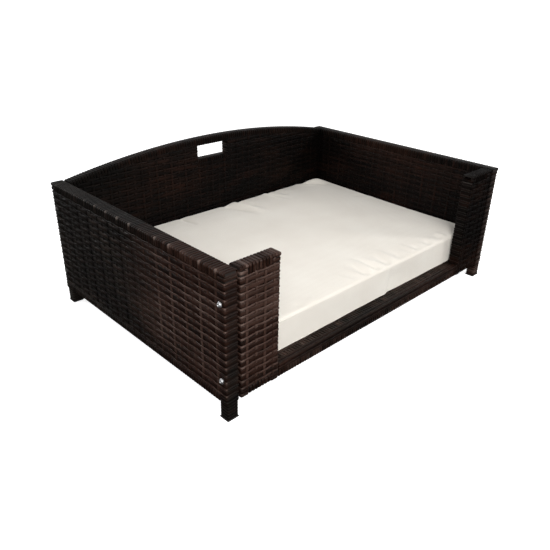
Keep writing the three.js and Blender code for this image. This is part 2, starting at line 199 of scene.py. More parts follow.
# Boxes along edges where the light strands get a painted highlight, the glint where they bend round the
# edge.
PAINTED_GLINT_EDGES = (
    ((-0.505, -0.345, 0.04), (-0.4970, -0.338, 0.335), (0.002, 0.003, 0.02), 0.30),
    ((-0.466, -0.345, 0.04), (-0.453, -0.330, 0.335), (0.006, 0.006, 0.02), 0.26),
    ((-0.505, -0.345, 0.328), (-0.4965, 0.05, 0.340), (0.003, 0.10, 0.004), 0.34),
)


def warmth(spots):
    """Where the strand that happened to come off the spool is reddish, from 0 to 1."""
    warm = 0.46 + 0.25 * np.sin(7 * spots[:, 0] + 2) * np.sin(5 * spots[:, 1] + 1)
    for centre, reach, amount in WARM_PLACES:
        warm = warm + amount * ball_share(spots, centre, reach)
    return np.clip(warm, 0, 1)


# Centre, reach and amount of each reddish place, or greyish one where the amount is below zero.
WARM_PLACES = (
    ((-0.50, -0.26, 0.20), (0.30, 0.34, 0.26), 0.9),
    ((-0.43, -0.34, 0.26), (0.16, 0.30, 0.26), 0.6),
    ((-0.50, 0.30, 0.20), (0.30, 0.40, 0.40), -0.5),
    ((0.47, 0.0, 0.20), (0.20, 0.40, 0.30), 0.5),
    ((-0.480, -0.345, 0.18), (0.035, 0.030, 0.30), -1.6),
    ((-0.480, -0.330, 0.00), (0.060, 0.060, 0.06), -1.6),
)


class Strands:
    """Many strands gathered into one mesh, with what the material needs to know at each point."""

    def __init__(self):
        self.verts = []
        self.quads = []
        self.along = []
        self.across = []
        self.tone = []
        self.count = 0

    def add(self, points, outs, width, tone, closed=True, thick=STRAND_THICK):
        """Sweeps the section along the points, with its crown turned outwards."""
        if closed:
            ahead = np.roll(points, -1, 0) - np.roll(points, 1, 0)
        else:
            ahead = np.gradient(points, axis=0)
        tangent = unit(ahead)
        outs = unit(outs - tangent * (outs * tangent).sum(1, keepdims=True))
        side = np.cross(outs, tangent)
        across = PROFILE[:, 0]
        rise = (PROFILE[:, 1] - 0.5) * thick
        half = np.broadcast_to(np.asarray(width) / 2, len(points))
        verts = (points[:, None] + side[:, None] * across[None, :, None] * half[:, None, None]
                 + outs[:, None] * rise[None, :, None]).reshape(-1, 3)
        quads = ring_faces(len(points), closed)
        if signed_volume(verts, quads) < 0:
            quads = quads[:, ::-1]
        step = np.linalg.norm(np.diff(points, axis=0), axis=1)
        travelled = np.concatenate([[0], np.cumsum(step)]) + RNG.uniform(0, 50)
        corners = len(PROFILE)
        self.verts.append(verts)
        self.quads.append(quads + self.count)
        self.along.append(np.repeat(travelled, corners))
        self.across.append(np.tile(across, len(points)))
        self.tone.append(np.full(len(verts), tone + RNG.normal(0, TONE_SPREAD)))
        self.count += len(verts)

    def build(self, name, material):
        verts = np.concatenate(self.verts)
        quads = np.concatenate(self.quads)
        layers = {
            "along": np.concatenate(self.along), "across": np.concatenate(self.across),
            "tone": tone_with_painted_light(verts, np.concatenate(self.tone)), "warm": warmth(verts),
        }
        mesh = bpy.data.meshes.new(name)
        mesh.vertices.add(len(verts))
        mesh.vertices.foreach_set("co", verts.astype(np.float32).ravel())
        mesh.loops.add(quads.size)
        mesh.loops.foreach_set("vertex_index", quads.astype(np.int32).ravel())
        mesh.polygons.add(len(quads))
        mesh.polygons.foreach_set("loop_start", np.arange(0, quads.size, 4, dtype=np.int32))
        mesh.polygons.foreach_set("use_smooth", np.ones(len(quads), bool))
        for label, values in layers.items():
            layer = mesh.attributes.new(label, "FLOAT", "POINT")
            layer.data.foreach_set("value", values.astype(np.float32))
        mesh.update()
        mesh.validate()
        mesh.materials.append(material)
        return add_object(name, mesh)


def rounded_loop(u, v, radius, step_u, step_v):
    """Points and outward directions round a rectangle with round corners, in two coordinates."""
    (u0, u1), (v0, v1) = u, v
    corners = [((u1 - radius, v1 - radius), 90), ((u1 - radius, v0 + radius), 0),
               ((u0 + radius, v0 + radius), -90), ((u0 + radius, v1 - radius), -180)]
    points = []
    outs = []
    for index, (centre, start) in enumerate(corners):
        turn = np.radians(start - np.linspace(0, 90, 5))
        arc = np.stack([np.cos(turn), np.sin(turn)], axis=1)
        points.append(np.array(centre) + radius * arc)
        outs.append(arc)
        following = corners[(index + 1) % 4]
        begin = points[-1][-1]
        end = np.array(following[0]) + radius * arc[-1]
        step = step_v if index % 2 == 0 else step_u
        count = max(int(round(np.linalg.norm(end - begin) / step)), 1)
        share = np.arange(1, count)[:, None] / count
        points.append(begin + (end - begin) * share)
        outs.append(np.repeat(arc[-1][None], count - 1, axis=0))
    return np.concatenate(points), np.concatenate(outs)


# --- a woven panel: rows along it, stakes up it, and wraps over its rails ---

class Panel:
    """A panel's own coordinates: s along it, n out of its outer face and z up."""

    def __init__(self, start, along, out, length, thick, z, first_stake, stake_pitch=STAKE_PITCH):
        self.start = np.array(start, float)
        self.along = np.array(along, float)
        self.out = np.array(out, float)
        self.length = length
        self.half = thick / 2
        self.low, self.high = z
        self.first_stake = first_stake
        self.stake_pitch = stake_pitch
        gaps = round((length - 2 * first_stake) / stake_pitch)
        self.stakes = first_stake + stake_pitch * np.arange(gaps + 1)

    def place(self, s, n, z):
        s, n, z = np.broadcast_arrays(s, n, z)
        up = np.array([0, 0, 1.0])
        return self.start + s[:, None] * self.along + n[:, None] * self.out + z[:, None] * up

    def turn(self, s, n, z):
        return self.place(s, n, z) - self.start

    def level_loop(self, strands, z, points, outs, width, tone, thick=STRAND_THICK):
        """A loop in s and n, at one height."""
        strands.add(self.place(points[:, 0], points[:, 1], np.array(z)),
                    self.turn(outs[:, 0], outs[:, 1], np.array(0.0)), width, tone, thick=thick)

    def upright_loop(self, strands, s, points, outs, width, tone):
        """A loop in z and n, at one place along the panel."""
        strands.add(self.place(np.array(s), points[:, 1], points[:, 0]),
                    self.turn(np.array(0.0), outs[:, 1], outs[:, 0]), width, tone)

    def swing(self, s, parity):
        """From 1 where a row is over a stake to -1 where it is under one, and 1 round the end posts."""
        swing = np.cos(math.pi * (s - self.first_stake) / self.stake_pitch) * parity
        past = np.maximum(self.first_stake - s, s - self.stakes[-1]) / (0.6 * self.stake_pitch)
        hold = ease(past)
        return swing * (1 - hold) + hold

    def add_row(self, strands, z, index, span, tucked=(False, False)):
        """A row's loop round the panel; a tucked end goes in under the wraps of an edge."""
        light = index % 2 == 0
        points, outs = rounded_loop(span, (-self.half, self.half), BEND, self.stake_pitch / 7, 6 * MM)
        s = points[:, 0]
        flat = np.abs(outs[:, 1]) > 0.999
        swing = np.where(flat, self.swing(s, 1 if light else -1), 1.0)
        over, under = LIGHT_DEPTHS if light else DARK_DEPTHS
        depth = over + (under - over) * (1 - swing) / 2
        for end, hidden in zip(span, tucked):
            if hidden:
                share = ease(1 - np.abs(s - end) / (0.8 * self.stake_pitch))
                depth = depth * (1 - share) + TUCKED * share
        points = points - outs * depth[:, None]
        self.level_loop(strands, z, points, outs, ROW_WIDE[index % 2], row_tone(index), ROW_THICK)

    def add_stake(self, strands, s, index, first_row, span, rows):
        """A stake's loop from span[0] to span[1], woven where rows says that there are rows."""
        points, outs = rounded_loop(span, (-self.half, self.half), BEND, ROW_PITCH / 3, 6 * MM)
        z = points[:, 0]
        at_light, at_dark = LIGHT_STAKE if index % 2 == 0 else DARK_STAKE
        swing = np.cos(math.pi * (z - first_row) / ROW_PITCH)
        depth = at_dark + (at_light - at_dark) * (1 + swing) / 2
        woven = ease((z - rows[0]) / (4 * MM)) * ease((rows[1] - z) / (4 * MM))
        flat = np.abs(outs[:, 1]) > 0.999
        depth = np.where(flat, depth * woven + TUCKED * (1 - woven), TUCKED)
        points = points - outs * depth[:, None]
        self.upright_loop(strands, s, points, outs, STAKE_WIDE, STAKE_TONE)

    def add_shade_sheet(self, strands, s, span):
        """A dark strip inside each skin, between two stakes, that nothing shines through: painted shade seen
        through the gaps between the strands.
        """
        z = np.linspace(span[0] + WRAP_REACH, span[1] - WRAP_REACH, 8)
        for side in (-1, 1):
            strands.add(self.place(np.array(s), np.array(side * (self.half - SHADE_SHEET_DEPTH)), z),
                        self.turn(np.array(0.0), np.array(float(side)), 0 * z), self.stake_pitch - 0.5 * MM,
                        SHADE_SHEET_TONE, closed=False)

    def add_wrap(self, strands, s, span, tone=0.4, tucks=(False, False)):
        """One turn of strand round a rail; where it tucks, it goes in behind the rows next to it."""
        low, high = (end + hidden * way * WRAP_REACH for end, hidden, way in zip(span, tucks, (-1, 1)))
        points, outs = rounded_loop((low, high), (-self.half, self.half), BEND, 2.2 * MM, 6 * MM)
        z = points[:, 0]
        past = np.zeros_like(z)
        if tucks[0]:
            past = ease((span[0] + 1.5 * MM - z) / (3 * MM))
        if tucks[1]:
            past = ease((z - span[1] + 1.5 * MM) / (3 * MM))
        depth = ON_TOP + (BEHIND - ON_TOP) * past
        points = points - outs * depth[:, None]
        self.upright_loop(strands, s, points, outs, WRAP_WIDE, tone)

    def add_hoop(self, strands, z, span, tone=WRAP_TONE):
        """One turn of strand round a post that covers the lengths in span."""
        points, outs = rounded_loop(span, (-self.half, self.half), BEND, 6 * MM, 6 * MM)
        self.level_loop(strands, z, points - outs * ON_TOP, outs, HOOP_WIDE, tone)


def panel_across(low, high, face, first_stake, stake_pitch, way=1):
    """A panel along X in the box; its outer face looks to -Y or +Y, and s runs with X or against it."""
    start = low.x if way > 0 else high.x
    return Panel((start, (low.y + high.y) / 2, 0), (way, 0, 0), (0, face, 0), high.x - low.x,
                 high.y - low.y, (low.z, high.z), first_stake, stake_pitch)


def evenly(start, end, pitch):
    count = max(round((end - start) / pitch), 1)
    return start + (end - start) * (np.arange(count) + 0.5) / count


def row_heights(panel, top):
    first = panel.low + LOW_BAND + ROW_PITCH / 2
    count = int((top - first + ROW_PITCH / 2) / ROW_PITCH + 0.05)
    return first + ROW_PITCH * np.arange(count)


def wrap_tone():
    return WRAP_TONE + RNG.uniform(-0.16, 0.16)


def top_wrap_tone(panel, s):
    """The wraps over a top rail are dark, but for a light one at most of the second stakes."""
    even = (s - panel.first_stake + WRAP_PITCH / 2) % (2 * panel.stake_pitch) < WRAP_PITCH
    return LIGHT_WRAP if even and RNG.uniform() < 0.7 else DARK_WRAP + RNG.uniform(-0.10, 0.10)


def row_tone(index):
    return LIGHT_ROW if index % 2 == 0 else DARK_ROW


ABOVE = (False, True)
BELOW = (True, False)


def weave_straight(name, panel):
    """The rows, stakes and wraps of a panel with a level top."""
    rows, stakes, wraps = Strands(), Strands(), Strands()
    band = panel.high - TOP_BAND
    heights = row_heights(panel, band)
    whole = (0.0, panel.length)
    for index, z in enumerate(heights):
        panel.add_row(rows, z, index, whole)
    limits = (heights[0] - ROW_PITCH / 2, heights[-1] + ROW_PITCH / 2)
    loop = (panel.low + 6 * MM, panel.high - 6 * MM)
    for index, s in enumerate(panel.stakes):
        panel.add_stake(stakes, s, index, heights[0], loop, limits)
    for s in panel.stakes[:-1] + panel.stake_pitch / 2:
        panel.add_shade_sheet(stakes, s, (limits[0], band))
    posts = (POST_WIDE, panel.length - POST_WIDE)
    for s in evenly(*posts, WRAP_PITCH):
        panel.add_wrap(wraps, s, (band, panel.high), top_wrap_tone(panel, s), BELOW)
        panel.add_wrap(wraps, s, (panel.low, panel.low + LOW_BAND), wrap_tone(), ABOVE)
    for post in ((0.0, POST_WIDE), (panel.length - POST_WIDE, panel.length)):
        for s in evenly(*post, WRAP_PITCH):
            panel.add_wrap(wraps, s, (panel.high - POST_CAP, panel.high), wrap_tone())
        for z in evenly(limits[1], panel.high - POST_CAP + 1 * MM, ROW_PITCH):
            panel.add_hoop(wraps, z, post, wrap_tone())
        for z in evenly(panel.low, limits[0], ROW_PITCH):
            panel.add_hoop(wraps, z, post, wrap_tone())
    finish_weave(name, name, rows=rows, stakes=stakes, wraps=wraps)


def finish_weave(name, node, **runs):
    """One piece for each run of strands, all in the place of the CAD node."""
    for label, strands in runs.items():
        piece = strands.build(f"{name}_{label}", WICKER)
        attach(piece, "bed")
    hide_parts(node)


def side_panel(label, side):
    low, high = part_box(f"{label}_weave")
    middle = (low.x + high.x) / 2
    panel = Panel((middle, low.y, 0), (0, 1, 0), (side, 0, 0), high.y - low.y, high.x - low.x,
                  (low.z, high.z), 28 * MM)
    weave_straight(f"{label}_weave", panel)


def front_stub(label, side):
    low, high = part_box(f"front_{label}_weave")
    panel = panel_across(low, high, -1, 18 * MM, 23.67 * MM, way=-side)
    weave_straight(f"front_{label}_weave", panel)


# --- back panel: arched top, with a slot ---

class Arch:
    """The back panel's top edge, a circular arc."""

    def __init__(self, half, ends, crown):
        rise = crown - ends
        self.radius = (half * half + rise * rise) / (2 * rise)
        self.centre = crown - self.radius
        self.half = half

    def height(self, x, inset=0.0):
        radius = self.radius - inset
        return self.centre + math.sqrt(radius * radius - x * x)

    def reach(self, z, inset):
        """How far from the middle the inset arc is above the height z."""
        radius = self.radius - inset
        square = radius * radius - (z - self.centre) ** 2
        return min(math.sqrt(max(square, 0.0)), self.half)


def slot_box(first_edge):
    """The slot's ends, the rim under it on an edge between rows, and its heights."""
    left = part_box("back_slot_left_bar")[1].x + 1.5 * MM
    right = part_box("back_slot_right_bar")[0].x - 1.5 * MM
    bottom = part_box("back_slot_rail")[1].z + 1.5 * MM
    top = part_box("back_slot_left_bar")[1].z - 1.2 * MM
    rows_below = round((bottom - SLOT_BAND - first_edge) / ROW_PITCH)
    return left, right, first_edge + rows_below * ROW_PITCH, bottom, top


def add_arch_wraps(strands, panel, arch, middle, band, slot):
    angle = math.asin(arch.half / arch.radius)
    count = round(2 * angle * arch.radius / WRAP_PITCH)
    for turn in np.linspace(-angle, angle, count, endpoint=False) + angle / count:
        x = arch.radius * math.sin(turn)
        over_slot = slot[0] - 3 * MM < x < slot[1] + 3 * MM
        deep = arch.height(x) - slot[4] if over_slot else band + WRAP_REACH
        points, outs = rounded_loop((-deep, 0), (-panel.half, panel.half), BEND, 2.2 * MM, 6 * MM)
        past = 0 * points[:, 0] if over_slot else ease((1.5 * MM - band - points[:, 0]) / (3 * MM))
        depth = ON_TOP + (BEHIND - ON_TOP) * past
        points = points - outs * depth[:, None]
        radial = arch.radius + points[:, 0]
        s = middle + radial * math.sin(turn)
        z = arch.centre + radial * math.cos(turn)
        strands.add(panel.place(s, points[:, 1], z),
                    panel.turn(outs[:, 0] * math.sin(turn), outs[:, 1], outs[:, 0] * math.cos(turn)),
                    WRAP_WIDE, wrap_tone())


def back_spans(panel, arch, middle, z, slot, band):
    """Where a row runs at height z: the whole length, cut short by the arch and split by the slot."""
    reach = arch.reach(z - ROW_PITCH / 2, band)
    cut = reach < arch.half - 1 * MM
    start = middle - reach if cut else 0.0
    end = middle + reach if cut else panel.length
    left, right, rim, _, top = slot
    if rim < z and z - ROW_PITCH / 2 < top:
        return [((start, middle + left), (cut, False)), ((middle + right, end), (False, cut))]
    return [((start, end), (cut, cut))]


def back_panel():
    low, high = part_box("back_weave")
    panel = panel_across(low, high, 1, 14 * MM, 24.35 * MM)
    middle = panel.length / 2
    arch = Arch(middle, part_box("left_weave")[1].z, high.z)
    band = ARCH_BAND
    light, dark, stakes, wraps = Strands(), Strands(), Strands(), Strands()
    heights = row_heights(panel, arch.height(0, band) + ROW_PITCH)
    slot = slot_box(heights[0] - ROW_PITCH / 2)
    for index, z in enumerate(heights):
        rows = light if index % 2 == 0 else dark
        for span, tucked in back_spans(panel, arch, middle, z, slot, band):
            if span[1] - span[0] > 4 * BEND:
                panel.add_row(rows, z, index, span, tucked)
    start = heights[0] - ROW_PITCH / 2
    for index, s in enumerate(panel.stakes):
        x = s - middle
        top = arch.height(x, band)
        if slot[0] - 4 * MM < x < slot[1] + 4 * MM:
            top = slot[2]
        loop = (panel.low + 6 * MM, top + 8 * MM)
        panel.add_stake(stakes, s, index, heights[0], loop, (start, top))
    for s in panel.stakes[:-1] + panel.stake_pitch / 2:
        x = s - middle
        top = arch.height(abs(x) + panel.stake_pitch / 2, band)
        if slot[0] - panel.stake_pitch < x < slot[1] + panel.stake_pitch:
            top = slot[2]
        panel.add_shade_sheet(stakes, s, (start, top))
    for s in evenly(0.0, panel.length, WRAP_PITCH):
        panel.add_wrap(wraps, s, (panel.low, panel.low + LOW_BAND), wrap_tone(), ABOVE)
    for s in evenly(middle + slot[0], middle + slot[1], WRAP_PITCH):
        panel.add_wrap(wraps, s, (slot[2], slot[3]), wrap_tone(), BELOW)
    add_arch_wraps(wraps, panel, arch, middle, band, slot)
    finish_weave("back_weave", "back_weave", light_rows=light, dark_rows=dark, stakes=stakes, wraps=wraps)


# --- apron, legs and deck ---

def apron():
    """The low front rail: wraps all round it, and long strands over its upper front edge."""
    low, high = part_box("apron_wrap")
    panel = panel_across(low, high, -1, 12 * MM, STAKE_PITCH)
    wraps, runs = Strands(), Strands()
    band = low.z + LOW_BAND
    for s in evenly(0.0, panel.length, WRAP_PITCH):
        heights, depths = (panel.low, panel.high), (-panel.half, panel.half)
        points, outs = rounded_loop(heights, depths, BEND, 2.5 * MM, 4 * MM)
        covered = (points[:, 0] > band) & (points[:, 1] > 0)
        depth = np.where(covered, TUCKED, ON_TOP)
        points = points - outs * depth[:, None]
        panel.upright_loop(wraps, s, points, outs, WRAP_WIDE, wrap_tone())
    s = np.linspace(0, panel.length, 160)
    wave = 0.25 * MM * np.cos(2 * math.pi * s / WRAP_PITCH / 3)
    flat = np.zeros_like(s)
    for step in (0.5, 1.5):
        z = band + step * (panel.high - band) / 2
        runs.add(panel.place(s, panel.half - ON_TOP + wave, flat + z - 0.3 * MM),
                 panel.turn(flat, flat + 1, flat), HOOP_WIDE, RUN_TONES[0], closed=False)
        n = panel.half - step * ROW_PITCH
        runs.add(panel.place(s, flat + n, panel.high - ON_TOP + wave),
                 panel.turn(flat, flat, flat + 1), HOOP_WIDE, RUN_TONES[1], closed=False)
    finish_weave("apron", "apron_wrap", wraps=wraps, runs=runs)


def leg_wrap(label, place):
    node = f"{label}_{place}_leg_wrap"
    low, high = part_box(node)
    panel = panel_across(low, high, 1, 10 * MM, 10 * MM)
    hoops = Strands()
    for z in evenly(low.z, high.z, 7.5 * MM):
        panel.add_hoop(hoops, z, (0.0, panel.length), wrap_tone())
    finish_weave(node, node, hoops=hoops)


def deck_mat():
    """An open plain weave, pulled over the deck's bars."""
    low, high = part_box("deck_weave")
    strands = Strands()
    middle = (low.z + high.z) / 2
    rows = evenly(low.y, high.y, ROW_PITCH)
    stakes = evenly(low.x, high.x, 36 * MM)
    pitch_x = stakes[1] - stakes[0]
    pitch_y = rows[1] - rows[0]
    swing = 0.5 * MM
    x = np.linspace(low.x, high.x, 6 * len(stakes))
    y = np.linspace(low.y, high.y, 4 * len(rows))
    for index, at in enumerate(rows):
        parity = 1 if index % 2 == 0 else -1
        z = middle + swing * parity * np.cos(math.pi * (x - stakes[0]) / pitch_x)
        points = np.stack([x, np.full_like(x, at), z], axis=1)
        strands.add(points, np.tile([0.0, 0, 1], (len(x), 1)), HOOP_WIDE, row_tone(index), closed=False)
    for index, at in enumerate(stakes):
        parity = 1 if index % 2 == 0 else -1
        z = middle - swing * parity * np.cos(math.pi * (y - rows[0]) / pitch_y)
        points = np.stack([np.full_like(y, at), y, z], axis=1)
        strands.add(points, np.tile([0.0, 0, 1], (len(y), 1)), STAKE_WIDE, STAKE_TONE, closed=False)
    finish_weave("deck_weave", "deck_weave", strands=strands)


# --- materials ---

class Nodes:
    """A short way to write a node tree."""

    def __init__(self, tree):
        self.tree = tree

    def node(self, kind, **values):
        made = self.tree.nodes.new(kind)
        for key, value in values.items():
            setattr(made, key, value)
        return made

    def link(self, source, target):
        self.tree.links.new(source, target)

    def put(self, target, value):
        if isinstance(value, (int, float, tuple)):
            target.default_value = value
        else:
            self.link(value, target)

    def fill(self, node, **values):
        """Gives the node's inputs their values or links, by name."""
        for label, value in values.items():
            self.put(node.inputs[label.replace("_", " ")], value)
        return node

    def math(self, operation, a, b=0.0, clamp=False):
        made = self.node("ShaderNodeMath", operation=operation, use_clamp=clamp)
        self.put(made.inputs[0], a)
        self.put(made.inputs[1], b)
        return made.outputs[0]

    def attribute(self, name):
        return self.node("ShaderNodeAttribute", attribute_name=name).outputs["Fac"]

    def vector(self, x, y, z):
        return self.fill(self.node("ShaderNodeCombineXYZ"), X=x, Y=y, Z=z).outputs[0]

    def place(self):
        return self.node("ShaderNodeTexCoord").outputs["Object"]

    def noise(self, where, scale, detail=2.0, roughness=0.5):
        made = self.node("ShaderNodeTexNoise")
        self.fill(made, Vector=where, Scale=scale, Detail=detail, Roughness=roughness)
        return made.outputs["Fac"]

    def bands(self, axis, scale, distortion=0.0):
        made = self.node("ShaderNodeTexWave", bands_direction=axis)
        return self.fill(made, Vector=self.place(), Scale=scale, Distortion=distortion).outputs["Fac"]

    def spread(self, value, low, high, to_low=0.0, to_high=1.0, curve="LINEAR"):
        made = self.node("ShaderNodeMapRange", interpolation_type=curve)
        self.fill(made, Value=value, From_Min=low, From_Max=high, To_Min=to_low, To_Max=to_high)
        return made.outputs[0]

    def ramp(self, value, *stops):
        made = self.node("ShaderNodeValToRGB")
        self.put(made.inputs[0], value)
        elements = made.color_ramp.elements
        while len(elements) < len(stops):
            elements.new(0.5)
        for element, (position, colour) in zip(elements, stops):
            element.position = position
            element.color = (*colour, 1)
        return made.outputs["Color"]

    def bump(self, height, distance, strength=1.0):
        made = self.node("ShaderNodeBump")
        return self.fill(made, Height=height, Distance=distance, Strength=strength).outputs["Normal"]


class Look(Nodes):
    """The node tree of a new material."""

    def __init__(self, name):
        self.material = bpy.data.materials.new(name)
        self.material.use_nodes = True
        super().__init__(self.material.node_tree)
        self.tree.nodes.clear()
        self.shader = self.node("ShaderNodeBsdfPrincipled")
        output = self.node("ShaderNodeOutputMaterial")
        self.link(self.shader.outputs["BSDF"], output.inputs["Surface"])

    def set(self, **values):
        self.fill(self.shader, **values)
        return self.material


# Colours of a strand from dark to light, in a reddish and a greyish place.
TONE_STOPS = (0.10, 0.42, 0.70, 1.0)
RED_TONES = (
    (0.0025, 0.0016, 0.0014), (0.0150, 0.0058, 0.0036), (0.0440, 0.0225, 0.0165), (0.095, 0.062, 0.050),
)
GREY_TONES = (
    (0.0018, 0.0015, 0.0013), (0.0060, 0.0043, 0.0032), (0.0200, 0.0150, 0.0115), (0.075, 0.062, 0.053),
)


def wicker_material():
    """Variegated flat strand: slow patches of brown on black, fine grooves along it, a satin skin. Its tone
    also carries the painted shade and painted highlights of the weave.
    """
    m = Look("wicker")
    along, across, tone = m.attribute("along"), m.attribute("across"), m.attribute("tone")
    stretched = m.fill(m.node("ShaderNodeMapping"), Vector=m.place(), Scale=(2.6, 2.6, 8.0))
    patch = m.noise(stretched.outputs[0], 1.0, 2.0)
    slow = m.vector(m.math("MULTIPLY", along, 9.0), m.math("MULTIPLY", across, 0.25), 0.0)
    fine = m.vector(m.math("MULTIPLY", along, 60.0), m.math("MULTIPLY", across, 5.0), 3.0)
    streak = m.noise(slow, 1.0, 3.0)
    grain = m.noise(fine, 1.0, 4.0, 0.65)
    level = m.math("ADD", tone, m.spread(patch, 0.32, 0.68, -0.16, 0.16))
    level = m.math("ADD", level, m.spread(streak, 0.3, 0.7, -0.14, 0.14))
    level = m.math("ADD", level, m.spread(grain, 0.3, 0.7, -0.10, 0.10), clamp=True)
    red = m.ramp(level, *zip(TONE_STOPS, RED_TONES))
    grey = m.ramp(level, *zip(TONE_STOPS, GREY_TONES))
    blend = m.node("ShaderNodeMix", data_type="RGBA")
    reddish = m.math("ADD", m.attribute("warm"), m.spread(streak, 0.35, 0.65, -0.25, 0.25), clamp=True)
    m.put(blend.inputs["Factor"], reddish)
    m.link(grey, blend.inputs[6])
    m.link(red, blend.inputs[7])
    rough = m.spread(grain, 0.3, 0.75, 0.32, 0.50)
    # The specular level follows the tone, so the strands also reflect less where painted shade darkens them.
    gloss = m.spread(tone, 0.15, 0.85, 0.03, 0.24)
    return m.set(Base_Color=blend.outputs[2], Roughness=rough, Specular_IOR_Level=gloss,
                 Normal=m.bump(grain, 0.35 * MM, 0.7))


def grained_material(name, grain, patches, dark, light, rough, bump, metallic=0.0):
    """Two tints in slow patches, with a fine grain in the roughness and the bump."""
    m = Look(name)
    fine = m.noise(m.place(), *grain)
    tint = m.ramp(m.noise(m.place(), patches), dark, light)
    return m.set(Base_Color=tint, Metallic=metallic, Roughness=m.spread(fine, 0.3, 0.7, *rough),
                 Normal=m.bump(fine, *bump))


def fabric_material():
    """Off-white woven polyester: a fine thread grid, faint mottling, a soft sheen."""
    m = Look("cushion_fabric")
    x, y, z = (m.bands(axis, 380.0, 0.6) for axis in "XYZ")
    cloth = m.math("ADD", m.math("ADD", x, y), z)
    mottle = m.noise(m.place(), 9.0, 3.0)
    tint = m.ramp(m.math("ADD", m.math("MULTIPLY", mottle, 0.8), m.math("MULTIPLY", cloth, 0.06)),
                  (0.25, (0.64, 0.595, 0.53)), (0.75, (0.71, 0.675, 0.61)))
    return m.set(Base_Color=tint, Roughness=0.9, Sheen_Weight=0.25, Sheen_Roughness=0.5,
                 Normal=m.bump(cloth, 0.12 * MM, 0.5))


def foam_material():
    """Open-cell foam."""
    m = Look("foam")
    cells = m.fill(m.node("ShaderNodeTexVoronoi"), Vector=m.place(), Scale=700.0).outputs["Distance"]
    tint = m.ramp(cells, (0.0, (0.70, 0.64, 0.42)), (0.8, (0.80, 0.75, 0.55)))
    return m.set(Base_Color=tint, Roughness=0.95, Normal=m.bump(cells, 0.4 * MM, 0.6))


def zip_material():
    """Woven tape with the teeth's fine ribs across it."""
    m = Look("zip_tape")
    ribs = m.bands("X", 160.0)
    tint = m.ramp(ribs, (0.2, (0.50, 0.47, 0.41)), (0.9, (0.66, 0.62, 0.55)))
    return m.set(Base_Color=tint, Roughness=0.7, Normal=m.bump(ribs, 0.3 * MM, 0.8))


def slider_material():
    """Satin nickel with fine wear."""
    m = Look("zip_metal")
    wear = m.noise(m.place(), 1500.0, 3.0)
    tint = m.ramp(wear, (0.3, (0.50, 0.49, 0.46)), (0.7, (0.66, 0.65, 0.62)))
    return m.set(Base_Color=tint, Metallic=1.0, Roughness=m.spread(wear, 0.3, 0.7, 0.25, 0.42))


def floor_material():
    """A plain pale floor with a barely visible unevenness."""
    m = Look("floor")
    tint = m.ramp(m.noise(m.place(), 1.5), (0.3, (0.90, 0.90, 0.90)), (0.7, (0.92, 0.92, 0.92)))
    return m.set(Base_Color=tint, Roughness=0.9, Emission_Color=(1.0, 1.0, 1.0, 1.0), Emission_Strength=0.72)


WICKER = wicker_material()
# Dark powder coat with an orange peel, zinc with turning marks and a darker copy of it as painted shade on
# the rear bolts, and moulded plastic.
STEEL = grained_material("powder_coat", (900.0, 3.0), 14.0, (0.3, (0.016, 0.012, 0.010)),
                         (0.8, (0.026, 0.019, 0.016)), (0.38, 0.55), (0.1 * MM, 0.5), 0.2)
ZINC = grained_material("zinc", (2200.0, 2.0), 160.0, (0.3, (0.42, 0.43, 0.44)),
                        (0.7, (0.58, 0.58, 0.59)), (0.40, 0.55), (0.03 * MM, 0.4), 1.0)
ZINC_IN_PAINTED_SHADE = grained_material("zinc_painted_shade", (2200.0, 2.0), 160.0, (0.3, (0.030, 0.028, 0.027)),
                             (0.7, (0.060, 0.056, 0.053)), (0.45, 0.6), (0.03 * MM, 0.4), 0.6)
FOOT = grained_material("foot_plastic", (1400.0, 2.0), 90.0, (0.3, (0.012, 0.011, 0.010)),
                        (0.75, (0.024, 0.021, 0.019)), (0.5, 0.7), (0.08 * MM, 0.5))
FABRIC = fabric_material()
FOAM = foam_material()
ZIP = zip_material()
NICKEL = slider_material()
SLOT_MATERIALS = {
    "wicker": WICKER, "frame_steel": STEEL, "bolt": ZINC, "foot": FOOT, "cushion_fabric": FABRIC,
    "foam": FOAM, "zip_tape": ZIP, "zip_metal": NICKEL,
}


def dress_frame():
    """Gives every carried-over CAD node the material of its slot."""
    for part in frame["record"]["subparts"]:
        node = frame["nodes"][part["node"]]
        node.data.materials.clear()
        node.data.materials.append(SLOT_MATERIALS[part["material_slot"]])


# --- bolts: flanged button heads ---

def lathe(name, profile, steps, material):
    """A closed turned body about the X axis from (distance along, radius) pairs."""
    mesh = bpy.data.meshes.new(name)
    form = bmesh.new()
    turns = np.linspace(0, 2 * math.pi, steps, endpoint=False)
    rings = [[form.verts.new((x, r * math.cos(t), r * math.sin(t))) for t in turns] for x, r in profile]
    for a, b in zip(rings, rings[1:]):
        for i in range(steps):
            form.faces.new((a[i], a[(i + 1) % steps], b[(i + 1) % steps], b[i]))
    form.faces.new(rings[0][::-1])
    form.faces.new(rings[-1])
    bmesh.ops.recalc_face_normals(form, faces=form.faces)
    form.to_mesh(mesh)
    form.free()
    mesh.materials.append(material)
    for face in mesh.polygons:
        face.use_smooth = len(face.vertices) == 4
    return add_object(name, mesh)


